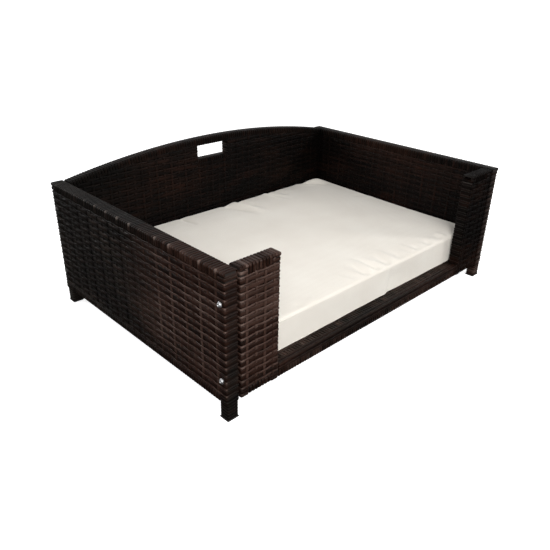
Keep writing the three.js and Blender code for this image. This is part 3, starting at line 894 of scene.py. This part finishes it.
def bolt(node, side, material):
    low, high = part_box(node)
    tip = high.x if side < 0 else low.x
    top = low.x if side < 0 else high.x
    long = abs(top - tip)
    r = (high.z - low.z) / 2
    head = long - 4.7 * MM
    profile = [
        (0, 2.2 * MM), (1 * MM, 3 * MM), (head, 3 * MM), (head, r - 0.2 * MM), (head + 0.2 * MM, r),
        (head + 1.1 * MM, r), (head + 1.4 * MM, r - 0.3 * MM), (head + 1.5 * MM, 5.2 * MM),
        (head + 2.4 * MM, 5.0 * MM), (head + 3.4 * MM, 4.5 * MM), (head + 4.2 * MM, 3.7 * MM),
        (long - 0.1 * MM, 2.7 * MM), (long - 0.4 * MM, 2.3 * MM), (long - 2.2 * MM, 2.2 * MM),
    ]
    piece = lathe(node + "_detail", profile, 36, material)
    piece.data.transform(Matrix.Diagonal((side, 1, 1, 1)))
    if side < 0:
        piece.data.flip_normals()
    piece.data.transform(Matrix.Translation((tip, (low.y + high.y) / 2, (low.z + high.z) / 2)))
    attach(piece, "bed")
    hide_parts(node)


# --- cushion ---

VOXEL = 6 * MM
SWELL_ROOM = (1 * MM, 1 * MM, -2 * MM)       # the form starts this far inside the box, or above it
SWELL_LIMIT = 7 * MM           # no point may move further than this
SWELL_FRAMES = 20
CLOTH = {
    "quality": 4, "mass": 0.3, "tension_stiffness": 12, "compression_stiffness": 12, "shear_stiffness": 6,
    "bending_stiffness": 0.6, "use_pressure": True, "uniform_pressure_force": 4,
}
EDGE_HOLD = 230 * MM           # the boxed edge holds the top down this far in
SIDE_SWELL = 0.15              # the share of the swelling that the boxed sides show
PULLED_IN = 2.5 * MM           # the sides between the corners
CREASE_X = 64 * MM             # the upright crease on the front face
UNDERCUT = 4.5 * MM            # how far the fabric lies back to the right of the crease
FLAP = 1.5 * MM                # and stands out to the left of it
BACK_RISE = 7 * MM             # how much fuller it is at the back
EDGE_ROUND = 4 * MM            # radius of the boxed edges

# Folds of the top, in mm: from x, y to x, y, half width and height. They start at a seam.
FOLDS = (
    # along the back seam
    (-330, 305, -322, 225, 8, -1.0), (-300, 305, -290, 240, 9, 1.0), (-154, 305, -146, 205, 8, -2.0),
    (-128, 305, -122, 230, 9, 0.8), (18, 305, 48, 160, 11, -3.2), (52, 302, 84, 150, 12, 3.0),
    (82, 305, 108, 185, 10, -2.4), (190, 305, 200, 225, 11, 2.2), (208, 300, 222, 190, 10, -2.2),
    (240, 305, 256, 215, 8, -1.4), (268, 305, 280, 240, 9, 0.9),
    # across the corners
    (342, 300, 440, 205, 13, 1.6), (366, 306, 456, 208, 13, -4.2), (404, 306, 462, 248, 12, 3.2),
    (436, 308, 466, 276, 6, -2.0),
    (-380, 306, -462, 230, 9, -3.0), (-350, 300, -440, 215, 12, 1.8), (-420, 308, -464, 262, 8, 1.8),
    (400, -306, 464, -246, 12, -1.7), (372, -298, 446, -226, 13, 0.8),
    (-400, -306, -464, -240, 10, -2.4), (-372, -300, -440, -222, 12, 1.2),
    # along the front seam
    (-62, -306, -70, -240, 8, 0.8), (-28, -306, -34, -226, 8, 1.5), (-10, -306, -16, -222, 8, -1.5),
    (14, -306, 4, -200, 11, 2.5), (36, -306, 30, -215, 8, -2.0), (58, -306, 52, -232, 8, 1.6),
    (82, -306, 78, -222, 9, -1.7), (112, -306, 106, -214, 10, 1.9), (136, -306, 134, -240, 9, -1.0),
    (162, -306, 160, -256, 8, 0.7), (192, -306, 188, -232, 9, 1.2), (214, -306, 214, -252, 8, -1.1),
    (248, -306, 247, -260, 8, 1.0), (268, -306, 268, -262, 8, -1.1), (292, -306, 292, -258, 9, 1.2),
    (316, -306, 315, -262, 8, -1.0), (340, -306, 338, -256, 9, 1.3), (-120, -306, -126, -262, 9, 0.6),
    (-210, -306, -206, -272, 10, 0.7), (-250, -306, -247, -270, 9, -0.6),
    # along the sides
    (464, 80, 395, 92, 9, -1.2), (464, 52, 400, 60, 10, 1.0), (464, -90, 405, -84, 9, -1.0),
    (-464, 60, -400, 70, 9, -1.2), (-464, 30, -405, 38, 10, 1.0), (-464, -110, -400, -104, 9, -1.1),
)
FOLD_HEIGHT = 2.4 * MM         # of a fold with height 1


def fold_height(x, y):
    """The top's height change in metres at x, y in millimetres."""
    total = np.zeros_like(x)
    x = x + 5 * waves(x, y, 150, ((0.3, 0.6), (1.4, 0.4)))
    for x0, y0, x1, y1, half, height in FOLDS:
        run = math.hypot(x1 - x0, y1 - y0)
        along = ((x - x0) * (x1 - x0) + (y - y0) * (y1 - y0)) / run / run
        off = ((x - x0) * (y1 - y0) - (y - y0) * (x1 - x0)) / run
        total += height * np.exp(-(off / half) ** 2) * ease(along * 8 + 1) * ease(1.6 - 1.6 * along)
    inward = np.minimum(464 - abs(x), 306 - abs(y))
    return total * FOLD_HEIGHT * ease(inward / 24 + 0.04)


def waves(x, y, length, turns):
    """A slow, irregular swell between -1 and 1."""
    total = np.zeros_like(x)
    for turn, share in turns:
        total += share * np.sin((x * math.cos(turn) + y * math.sin(turn)) * 2 * math.pi / length + 5 * turn)
    return total


def applied(piece):
    """The piece's mesh with its modifiers applied."""
    graph = bpy.context.evaluated_depsgraph_get()
    mesh = bpy.data.meshes.new_from_object(piece.evaluated_get(graph))
    piece.modifiers.clear()
    piece.data = mesh
    return piece


def read_points(mesh):
    points = np.empty(len(mesh.vertices) * 3)
    mesh.vertices.foreach_get("co", points)
    return points.reshape(-1, 3)


def write_points(mesh, points):
    mesh.vertices.foreach_set("co", points.ravel())
    mesh.update()


def cushion_form(low, high):
    """A closed box a little inside the cushion's own, as evenly spaced quads."""
    room = Vector(SWELL_ROOM)
    inner_low = low + Vector((room.x, room.y, 0.5 * MM))
    inner_high = high - room
    form = bmesh.new()
    bmesh.ops.create_cube(form, size=1.0)
    bmesh.ops.scale(form, vec=inner_high - inner_low, verts=form.verts)
    bmesh.ops.bevel(form, geom=form.edges[:], offset=3.5 * MM, segments=2, affect="EDGES", profile=0.5)
    bmesh.ops.translate(form, vec=(inner_low + inner_high) / 2, verts=form.verts)
    mesh = bpy.data.meshes.new("cushion")
    form.to_mesh(mesh)
    form.free()
    piece = add_object("cushion", mesh)
    remesh = piece.modifiers.new("remesh", "REMESH")
    remesh.mode = "VOXEL"
    remesh.voxel_size = VOXEL
    applied(piece)
    square_up(piece, inner_low, inner_high)
    return piece


def square_up(piece, low, high):
    """Moves the skin out onto a box with evenly rounded edges."""
    points = read_points(piece.data)
    centre = (np.array(low) + np.array(high)) / 2
    core = (np.array(high) - np.array(low)) / 2 - EDGE_ROUND
    offset = points - centre
    near_core = np.clip(offset, -core, core)
    out = offset - near_core
    write_points(piece.data, centre + near_core + unit(out) * EDGE_ROUND)


def swell(piece):
    """Blows the form up as cloth, and keeps every point within the limit."""
    before = read_points(piece.data)
    cloth = piece.modifiers.new("cloth", "CLOTH")
    for key, value in CLOTH.items():
        setattr(cloth.settings, key, value)
    cloth.settings.effector_weights.gravity = 0
    cloth.point_cache.frame_start = 1
    cloth.point_cache.frame_end = SWELL_FRAMES
    for number in range(1, SWELL_FRAMES + 1):
        bpy.context.scene.frame_set(number)
    applied(piece)
    bpy.context.scene.frame_set(1)
    after = read_points(piece.data)
    move = after - before
    size = np.linalg.norm(move, axis=1, keepdims=True)
    move = move * SWELL_LIMIT * np.tanh(size / SWELL_LIMIT) / np.maximum(size, 1e-9)
    inward = (before.max(0) - np.abs(before - (before.max(0) + before.min(0)) / 2 * [1, 1, 0]))[:, :2].min(1)
    inward = np.clip(inward / EDGE_HOLD, 0, 1)
    move[:, :2] *= SIDE_SWELL
    move[:, 2] *= 1 - (1 - inward) ** 2
    write_points(piece.data, before + move)


def shape_cushion(piece, low, high):
    """Pulls the sides in, presses the folds and the crease in, and keeps it on its base and off the zip."""
    points = read_points(piece.data)
    half = (high - low) / 2
    centre = (low + high) / 2
    x, y, z = points.T
    u, v = (x - centre.x) / half.x, (y - centre.y) / half.y
    rise = ease((z - low.z) / (high.z - low.z))
    reach = np.abs(points - np.array(centre)).max(0)
    points[:, 0] = centre.x + (points[:, 0] - centre.x) * (half.x + 0.5 * MM) / reach[0]
    points[:, 1] = centre.y + (points[:, 1] - centre.y) * (half.y + 0.5 * MM) / reach[1]
    points[:, 0] -= PULLED_IN * np.sign(u) * ease(abs(u) * 3 - 2) * (1 - v * v)
    points[:, 1] -= PULLED_IN * np.sign(v) * ease(abs(v) * 3 - 2) * (1 - u * u) * (v > 0)
    crease = CREASE_X + 5 * MM * (1 - (2 * rise - 1) ** 2)
    front = ease(-8 * v - 7)
    right = ease((x - crease) / (12 * MM) + 0.5)
    settled = np.exp(-np.maximum(x - crease, 0) / (70 * MM))
    points[:, 1] += UNDERCUT * right * front * (0.35 + 0.65 * ease(2 - 2 * rise)) * settled
    flap = np.exp(-((x - crease) / (16 * MM)) ** 2) * front * (1 - right)
    points[:, 1] -= FLAP * flap * (1.1 - rise)
    top = ease((z - centre.z) / (18 * MM))
    points[:, 2] += BACK_RISE * top * np.clip((v + 1) / 2, 0, 1) ** 2
    ripples = 0.3 * MM * waves(x, y, 0.33, ((0.4, 0.5), (1.9, 0.5)))
    points[:, 2] += top * (fold_height(x / MM, y / MM) + ripples)
    side = ease(np.maximum(abs(u) * half.x - half.x, abs(v) * half.y - half.y) / (10 * MM) + 1.6)
    points[:, 1] += np.sign(v) * 0.5 * MM * side * waves(x, z * 1.5, 0.11, ((0.2, 0.5), (1.2, 0.5)))
    points[:, 2] = np.maximum(points[:, 2], low.z + 0.2 * MM)
    zip_low, zip_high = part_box("cushion_zip")
    beside = ease((zip_high.x + 14 * MM - abs(x)) / (10 * MM)) * (y > 0)
    beside = beside * ease(1.5 - abs(z - (zip_low.z + zip_high.z) / 2) / (12 * MM))
    points[:, 1] += np.minimum(zip_low.y + 0.3 * MM - points[:, 1], 0) * beside
    points[:, 1] = np.minimum(points[:, 1], high.y + 2.2 * MM)
    write_points(piece.data, points)


def on_surface(tree, points):
    """The nearest points and directions of the cushion's skin, evened out along the line."""
    found = [tree.find_nearest(Vector(point)) for point in points]
    spots = np.array([hit[0][:] for hit in found])
    outs = np.array([hit[1][:] for hit in found])
    for _ in range(3):
        spots = (np.roll(spots, 1, 0) + 2 * spots + np.roll(spots, -1, 0)) / 4
        outs = (np.roll(outs, 1, 0) + 2 * outs + np.roll(outs, -1, 0)) / 4
    return spots, unit(outs)


def seam_line(low, high, z):
    """A level line round the cushion's box."""
    points = []
    corners = ((low.x, low.y), (high.x, low.y), (high.x, high.y), (low.x, high.y))
    for (ax, ay), (bx, by) in zip(corners, corners[1:] + corners[:1]):
        steps = np.arange(0, math.hypot(bx - ax, by - ay), 4 * MM) / math.hypot(bx - ax, by - ay)
        points += [(ax + (bx - ax) * t, ay + (by - ay) * t, z) for t in steps]
    return np.array(points)


def stitches(strands, tree, line, size):
    """Separate short stitches laid along a line."""
    spots, outs = on_surface(tree, line)
    ahead = unit(np.roll(spots, -1, 0) - np.roll(spots, 1, 0))
    reach = np.array([-0.5, -0.3, 0.3, 0.5])[:, None]
    sunk = np.array([-0.35, 0.25, 0.25, -0.35])[:, None]
    for spot, out, way in zip(spots, outs, ahead):
        run = spot + way * size * reach + out * sunk * MM
        strands.add(run, np.tile(out, (4, 1)), 0.7 * MM, STITCH_TONE, closed=False, thick=0.6 * MM)


def cushion_seams(piece, low, high):
    """The sewn ridge round the top and the base, with a row of stitches beside each."""
    data = piece.data
    tree = BVHTree.FromPolygons([v.co for v in data.vertices], [f.vertices for f in data.polygons])
    ridges = Strands()
    threads = Strands()
    for z, way in ((high.z - 3.5 * MM, 1), (low.z + 4.5 * MM, -1)):
        spots, outs = on_surface(tree, seam_line(low, high, z))
        ridges.add(spots + outs * 0.25 * MM, outs, 2.2 * MM, STITCH_TONE, thick=1.6 * MM)
        stitches(threads, tree, seam_line(low, high, z - way * 5 * MM), 2.8 * MM)
    for name, strands in (("cushion_seams", ridges), ("cushion_stitches", threads)):
        made = strands.build(name, FABRIC)
        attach(made, "cushion")


def cushion():
    low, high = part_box("cushion_cover")
    piece = cushion_form(low, high)
    swell(piece)
    finer = piece.modifiers.new("finer", "SUBSURF")
    finer.levels = 1
    finer.render_levels = 1
    applied(piece)
    shape_cushion(piece, low, high)
    piece.data.materials.clear()
    piece.data.materials.append(FABRIC)
    piece.data.polygons.foreach_set("use_smooth", np.ones(len(piece.data.polygons), bool))
    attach(piece, "cushion")
    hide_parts("cushion_cover", "cushion_core")
    cushion_seams(piece, low, high)


# --- stage: floor, light and camera ---

def floor():
    mesh = bpy.data.meshes.new("floor")
    reach = 60.0
    mesh.from_pydata([(-reach, -reach, 0), (reach, -reach, 0), (reach, reach, 0), (-reach, reach, 0)],
                     [], [(0, 1, 2, 3)])
    mesh.materials.append(floor_material())
    plane = add_object("floor", mesh)
    plane.visible_diffuse = False
    plane.visible_glossy = False


def lamp(name, place, target, size, power):
    """A round softbox, in metres and watts."""
    data = bpy.data.lights.new(name, "AREA")
    data.shape = "DISK"
    data.size = size
    data.energy = power
    box = add_object(name, data)
    box.location = place
    box.rotation_euler = (Vector(target) - Vector(place)).to_track_quat("-Z", "Y").to_euler()


ROOM_ABOVE = 0.50
ROOM_BELOW = 0.06


def room():
    """A studio that is white low down all round, dimmer overhead and dark underfoot."""
    world = bpy.data.worlds.new("studio")
    world.use_nodes = True
    m = Nodes(world.node_tree)
    split = m.node("ShaderNodeSeparateXYZ")
    m.link(m.node("ShaderNodeTexCoord").outputs["Generated"], split.inputs[0])
    above = m.spread(split.outputs["Z"], 0.12, 0.40, 0.85, ROOM_ABOVE, "SMOOTHSTEP")
    below = m.spread(split.outputs["Z"], -0.04, 0.0, ROOM_BELOW, 1.0)
    m.fill(m.tree.nodes["Background"], Color=(1.0, 1.0, 1.0, 1), Strength=m.math("MULTIPLY", above, below))
    bpy.context.scene.world = world


def lights():
    room()
    lamp("key", (-0.8, -1.45, 1.2), (-0.1, -0.1, 0.15), 1.7, 34)
    lamp("fill", (0.3, -2.3, 0.55), (0, -0.3, 0.12), 1.0, 2.5)
    lamp("top", (-0.05, 0.40, 1.05), (0, 0.25, 0.15), 0.6, 1.5)
    lamp("rim_left", (-1.9, 1.9, 1.35), (-0.3, 0, 0.25), 0.5, 20)
    lamp("rim_right", (1.9, -1.9, 1.35), (0, -0.3, 0.2), 0.5, 20)


CAMERA_PLACE = (-1.0659, -1.0460, 0.7942)
CAMERA_YAW = math.radians(44.40)
CAMERA_DOWN = math.radians(26.94)
CAMERA_ROLL = math.radians(1.20)
CAMERA_LENS = 37.93
SENSOR = 36.0


def camera():
    data = bpy.data.cameras.new("camera")
    data.sensor_fit = "HORIZONTAL"
    data.sensor_width = SENSOR
    data.lens = CAMERA_LENS
    data.clip_start = 0.05
    data.clip_end = 200
    eye = add_object("camera", data)
    forward = Vector((math.sin(CAMERA_YAW) * math.cos(CAMERA_DOWN),
                      math.cos(CAMERA_YAW) * math.cos(CAMERA_DOWN), -math.sin(CAMERA_DOWN)))
    level = Vector((math.cos(CAMERA_YAW), -math.sin(CAMERA_YAW), 0))
    upright = level.cross(forward)
    right = level * math.cos(CAMERA_ROLL) + upright * math.sin(CAMERA_ROLL)
    up = upright * math.cos(CAMERA_ROLL) - level * math.sin(CAMERA_ROLL)
    turn = Matrix((right, up, -forward)).transposed()
    eye.matrix_world = Matrix.Translation(CAMERA_PLACE) @ turn.to_4x4()
    bpy.context.scene.camera = eye


def build():
    camera()
    lights()
    floor()
    dress_frame()
    for label, side in (("left", -1), ("right", 1)):
        side_panel(label, side)
        front_stub(label, side)
        for place in ("front", "rear"):
            leg_wrap(label, place)
            for level in ("low", "high"):
                # the rear bolts get the darker zinc, painted shade
                bolt(f"bolt_{label}_{place}_{level}", side, ZINC if place == "front" else ZINC_IN_PAINTED_SHADE)
    back_panel()
    apron()
    deck_mat()
    cushion()
    bpy.context.scene.view_settings.view_transform = "Standard"


build()
